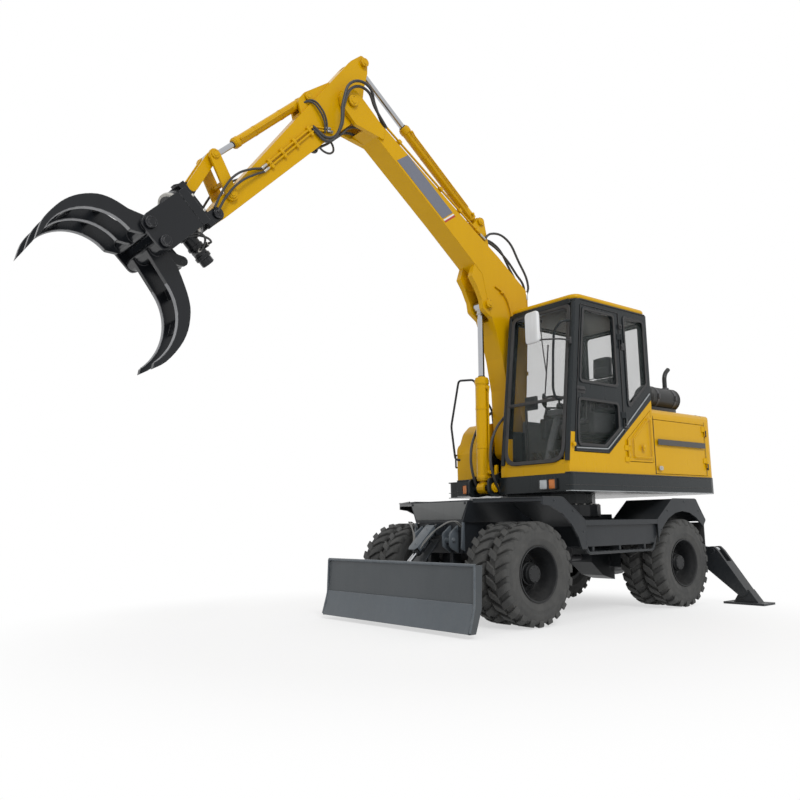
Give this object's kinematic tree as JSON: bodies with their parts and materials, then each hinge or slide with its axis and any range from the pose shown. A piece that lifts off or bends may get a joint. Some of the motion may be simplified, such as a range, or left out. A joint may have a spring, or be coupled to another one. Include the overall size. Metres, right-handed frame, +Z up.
{
  "type": "wheeled log loader",
  "caption": "Wheeled log loader: slewing cab and engine hood on a twin-tyred chassis with blade and outriggers, and a bent boom with an arm and log grapple.",
  "frame": {"origin": "on the floor, at the centre of the machine's box", "axes": "+X forward, towards the blade and the grapple; +Y to the operator's left, the cab side; +Z up"},
  "size_m": [7.058, 3, 5.362],
  "materials": {
    "yellow_paint": "glossy warm yellow machine paint",
    "grey_paint": "satin dark grey paint",
    "frame_paint": "satin dark slate paint",
    "black_paint": "semi-gloss black paint",
    "rubber": "matt black rubber",
    "chrome": "polished hard chrome",
    "glass": "clear safety glass with a faint green tint",
    "seat_cloth": "dark woven seat cloth",
    "cast_iron": "bare cast iron and dark paint"
  },
  "bodies": {
    "chassis": {"chassis_frame": "frame_paint", "left_fender": "frame_paint", "right_fender": "frame_paint", "front_axle": "frame_paint", "rear_axle": "frame_paint"},
    "left_knuckle": {"left_knuckle": "frame_paint"},
    "right_knuckle": {"right_knuckle": "frame_paint"},
    "front_left_twin": {"front_left_tyres": "rubber", "front_left_wheel": "frame_paint"},
    "front_right_twin": {"front_right_tyres": "rubber", "front_right_wheel": "frame_paint"},
    "rear_left_twin": {"rear_left_tyres": "rubber", "rear_left_wheel": "frame_paint"},
    "rear_right_twin": {"rear_right_tyres": "rubber", "rear_right_wheel": "frame_paint"},
    "blade": {"blade": "grey_paint"},
    "blade_barrel": {"blade_barrel": "frame_paint"},
    "blade_rod": {"blade_rod": "chrome"},
    "left_leg": {"left_leg": "frame_paint"},
    "left_leg_barrel": {"left_leg_barrel": "frame_paint"},
    "left_leg_rod": {"left_leg_rod": "chrome"},
    "right_leg": {"right_leg": "frame_paint"},
    "right_leg_barrel": {"right_leg_barrel": "frame_paint"},
    "right_leg_rod": {"right_leg_rod": "chrome"},
    "upper_structure": {"deck": "grey_paint", "cab_base": "yellow_paint", "cab_shell": "grey_paint", "cab_roof": "yellow_paint", "windscreen": "glass", "left_rear_window": "glass", "right_window": "glass", "rear_window": "glass", "seat": "seat_cloth", "hood": "yellow_paint", "engine": "cast_iron", "counterweight": "yellow_paint", "muffler": "black_paint", "tank": "yellow_paint", "tool_box": "yellow_paint"},
    "cab_door": {"cab_door": "grey_paint", "cab_door_glass": "glass"},
    "service_door": {"service_door": "yellow_paint"},
    "hood_door": {"hood_door": "yellow_paint"},
    "boom": {"boom": "yellow_paint"},
    "boom_barrel": {"boom_cylinder_barrel": "yellow_paint"},
    "boom_rod": {"boom_cylinder_rod": "chrome"},
    "arm": {"arm": "yellow_paint"},
    "arm_barrel": {"arm_cylinder_barrel": "yellow_paint"},
    "arm_rod": {"arm_cylinder_rod": "chrome"},
    "tilt_barrel": {"tilt_cylinder_barrel": "yellow_paint"},
    "tilt_rod": {"tilt_cylinder_rod": "chrome"},
    "rocker": {"rocker": "yellow_paint"},
    "tilt_link": {"tilt_link": "yellow_paint"},
    "hanger": {"hanger": "black_paint"},
    "grapple_head": {"grapple_head": "black_paint"},
    "upper_jaw": {"upper_jaw": "black_paint"},
    "lower_jaw": {"lower_jaw": "black_paint"},
    "jaw_barrel": {"jaw_cylinder_barrel": "black_paint"},
    "jaw_rod": {"jaw_cylinder_rod": "chrome"}
  },
  "joints": [
    {"name": "left_steering", "type": "hinge", "parent": "chassis", "child": "left_knuckle", "pos_m": [-0.44696, 0.42, 0.45], "axis": [0, 0, 1], "range_deg": [-22, 22]},
    {"name": "right_steering", "type": "hinge", "parent": "chassis", "child": "right_knuckle", "pos_m": [-0.44696, -0.42, 0.45], "axis": [0, 0, 1], "range_deg": [-22, 22]},
    {"name": "front_left_roll", "type": "hinge", "parent": "left_knuckle", "child": "front_left_twin", "pos_m": [-0.44696, 0.81, 0.45], "axis": [0, 1, 0], "continuous": true},
    {"name": "front_right_roll", "type": "hinge", "parent": "right_knuckle", "child": "front_right_twin", "pos_m": [-0.44696, -0.81, 0.45], "axis": [0, 1, 0], "continuous": true},
    {"name": "rear_left_roll", "type": "hinge", "parent": "chassis", "child": "rear_left_twin", "pos_m": [-2.71696, 0.81, 0.45], "axis": [0, 1, 0], "continuous": true},
    {"name": "rear_right_roll", "type": "hinge", "parent": "chassis", "child": "rear_right_twin", "pos_m": [-2.71696, -0.81, 0.45], "axis": [0, 1, 0], "continuous": true},
    {"name": "blade_lift", "type": "hinge", "parent": "chassis", "child": "blade", "pos_m": [-0.23696, 0, 0.45], "axis": [0, -1, 0], "range_deg": [-5, 20]},
    {"name": "blade_barrel_swing", "type": "hinge", "parent": "chassis", "child": "blade_barrel", "pos_m": [-0.12696, 0, 0.84], "axis": [0, -1, 0], "range_deg": [-4, 14]},
    {"name": "blade_rod_slide", "type": "slide", "parent": "blade_barrel", "child": "blade_rod", "axis": [0.7363, 0, -0.6766], "range_m": [-0.14, 0.04]},
    {"name": "left_leg_lift", "type": "hinge", "parent": "chassis", "child": "left_leg", "pos_m": [-3.40696, 0.5, 0.42], "axis": [1, 0, 0], "range_deg": [-6, 58]},
    {"name": "left_leg_barrel_swing", "type": "hinge", "parent": "chassis", "child": "left_leg_barrel", "pos_m": [-3.40696, 0.06, 0.79], "axis": [1, 0, 0], "range_deg": [-3, 24]},
    {"name": "left_leg_rod_slide", "type": "slide", "parent": "left_leg_barrel", "child": "left_leg_rod", "axis": [0, 0.9655, -0.2604], "range_m": [-0.34, 0.04]},
    {"name": "right_leg_lift", "type": "hinge", "parent": "chassis", "child": "right_leg", "pos_m": [-3.40696, -0.5, 0.42], "axis": [-1, 0, 0], "range_deg": [-6, 58]},
    {"name": "right_leg_barrel_swing", "type": "hinge", "parent": "chassis", "child": "right_leg_barrel", "pos_m": [-3.40696, -0.06, 0.79], "axis": [-1, 0, 0], "range_deg": [-3, 24]},
    {"name": "right_leg_rod_slide", "type": "slide", "parent": "right_leg_barrel", "child": "right_leg_rod", "axis": [0, -0.9655, -0.2604], "range_m": [-0.34, 0.04]},
    {"name": "slew", "type": "hinge", "parent": "chassis", "child": "upper_structure", "pos_m": [-1.75696, 0, 1.06], "axis": [0, 0, 1], "continuous": true},
    {"name": "cab_door_swing", "type": "hinge", "parent": "upper_structure", "child": "cab_door", "pos_m": [-1.83196, 0.99, 2.2], "axis": [0, 0, 1], "range_deg": [0, 90]},
    {"name": "service_door_swing", "type": "hinge", "parent": "upper_structure", "child": "service_door", "pos_m": [-1.85696, 0.984, 1.6], "axis": [0, 0, -1], "range_deg": [0, 90]},
    {"name": "hood_door_swing", "type": "hinge", "parent": "upper_structure", "child": "hood_door", "pos_m": [-3.30446, 0.984, 1.7], "axis": [0, 0, 1], "range_deg": [0, 90]},
    {"name": "boom_lift", "type": "hinge", "parent": "upper_structure", "child": "boom", "pos_m": [-1.28696, -0.1, 1.62], "axis": [0, -1, 0], "range_deg": [-66, 6]},
    {"name": "boom_barrel_swing", "type": "hinge", "parent": "upper_structure", "child": "boom_barrel", "pos_m": [-0.89696, -0.1, 1.24], "axis": [0, -1, 0], "range_deg": [-59, 6]},
    {"name": "boom_rod_slide", "type": "slide", "parent": "boom_barrel", "child": "boom_rod", "axis": [-0.0183, 0, 0.9998], "range_m": [-0.57, 0.06]},
    {"name": "arm_swing", "type": "hinge", "parent": "boom", "child": "arm", "pos_m": [0.81304, -0.1, 4.816], "axis": [0, 1, 0], "range_deg": [-45, 35]},
    {"name": "arm_barrel_swing", "type": "hinge", "parent": "boom", "child": "arm_barrel", "pos_m": [-0.89696, -0.1, 4.06], "axis": [0, 1, 0], "range_deg": [-3, 3]},
    {"name": "arm_rod_slide", "type": "slide", "parent": "arm_barrel", "child": "arm_rod", "axis": [0.7822, 0, 0.623], "range_m": [-0.37, 0.29]},
    {"name": "grapple_tilt", "type": "hinge", "parent": "arm", "child": "hanger", "pos_m": [2.14304, -0.1, 3.385], "axis": [0, -1, 0], "range_deg": [-60, 30]},
    {"name": "rocker_swing", "type": "hinge", "parent": "arm", "child": "rocker", "pos_m": [2.01764, -0.1, 3.58603], "axis": [0, -1, 0], "range_deg": [-54, 27]},
    {"name": "tilt_link_swing", "type": "hinge", "parent": "rocker", "child": "tilt_link", "pos_m": [2.17646, -0.1, 3.88519], "axis": [0, -1, 0], "range_deg": [-18, 35]},
    {"name": "tilt_barrel_swing", "type": "hinge", "parent": "arm", "child": "tilt_barrel", "pos_m": [1.26281, -0.1, 4.73162], "axis": [0, -1, 0], "range_deg": [-1, 1]},
    {"name": "tilt_rod_slide", "type": "slide", "parent": "tilt_barrel", "child": "tilt_rod", "axis": [0.7336, 0, -0.6796], "range_m": [-0.15, 0.29]},
    {"name": "grapple_turn", "type": "hinge", "parent": "hanger", "child": "grapple_head", "pos_m": [2.37284, -0.1, 3.37021], "axis": [0.7071, 0, -0.7071], "continuous": true},
    {"name": "upper_jaw_swing", "type": "hinge", "parent": "grapple_head", "child": "upper_jaw", "pos_m": [2.7674, -0.1, 3.09302], "axis": [0, 1, 0], "range_deg": [0, 38]},
    {"name": "lower_jaw_swing", "type": "hinge", "parent": "grapple_head", "child": "lower_jaw", "pos_m": [2.65002, -0.1, 2.97564], "axis": [0, -1, 0], "range_deg": [0, 38]},
    {"name": "jaw_barrel_swing", "type": "hinge", "parent": "lower_jaw", "child": "jaw_barrel", "pos_m": [2.39759, -0.1, 2.94948], "axis": [0, -1, 0], "range_deg": [-26, 0]},
    {"name": "jaw_rod_slide", "type": "slide", "parent": "jaw_barrel", "child": "jaw_rod", "axis": [0.7415, 0, 0.6709], "range_m": [0, 0.16]}
  ],
  "couplings": [
    {"joint": "right_steering", "follows": "left_steering", "ratio": 1},
    {"joint": "blade_barrel_swing", "follows": "blade_lift", "ratio": 0.6676},
    {"joint": "blade_rod_slide", "follows": "blade_lift", "m_per_rad": -0.3756},
    {"joint": "left_leg_barrel_swing", "follows": "left_leg_lift", "ratio": 0.4104},
    {"joint": "left_leg_rod_slide", "follows": "left_leg_lift", "m_per_rad": -0.3278},
    {"joint": "right_leg_barrel_swing", "follows": "right_leg_lift", "ratio": 0.4104},
    {"joint": "right_leg_rod_slide", "follows": "right_leg_lift", "m_per_rad": -0.3278},
    {"joint": "boom_barrel_swing", "follows": "boom_lift", "ratio": 0.8881},
    {"joint": "boom_rod_slide", "follows": "boom_lift", "m_per_rad": 0.486},
    {"joint": "arm_barrel_swing", "follows": "arm_swing", "ratio": 0.0615},
    {"joint": "arm_rod_slide", "follows": "arm_swing", "m_per_rad": 0.4601},
    {"joint": "rocker_swing", "follows": "grapple_tilt", "ratio": 0.8836},
    {"joint": "tilt_link_swing", "follows": "grapple_tilt", "ratio": -0.5778},
    {"joint": "tilt_barrel_swing", "follows": "grapple_tilt", "ratio": -0.0054},
    {"joint": "tilt_rod_slide", "follows": "grapple_tilt", "m_per_rad": -0.27375},
    {"joint": "lower_jaw_swing", "follows": "upper_jaw_swing", "ratio": 1},
    {"joint": "jaw_barrel_swing", "follows": "upper_jaw_swing", "ratio": -0.6787},
    {"joint": "jaw_rod_slide", "follows": "upper_jaw_swing", "m_per_rad": 0.2282}
  ]
}
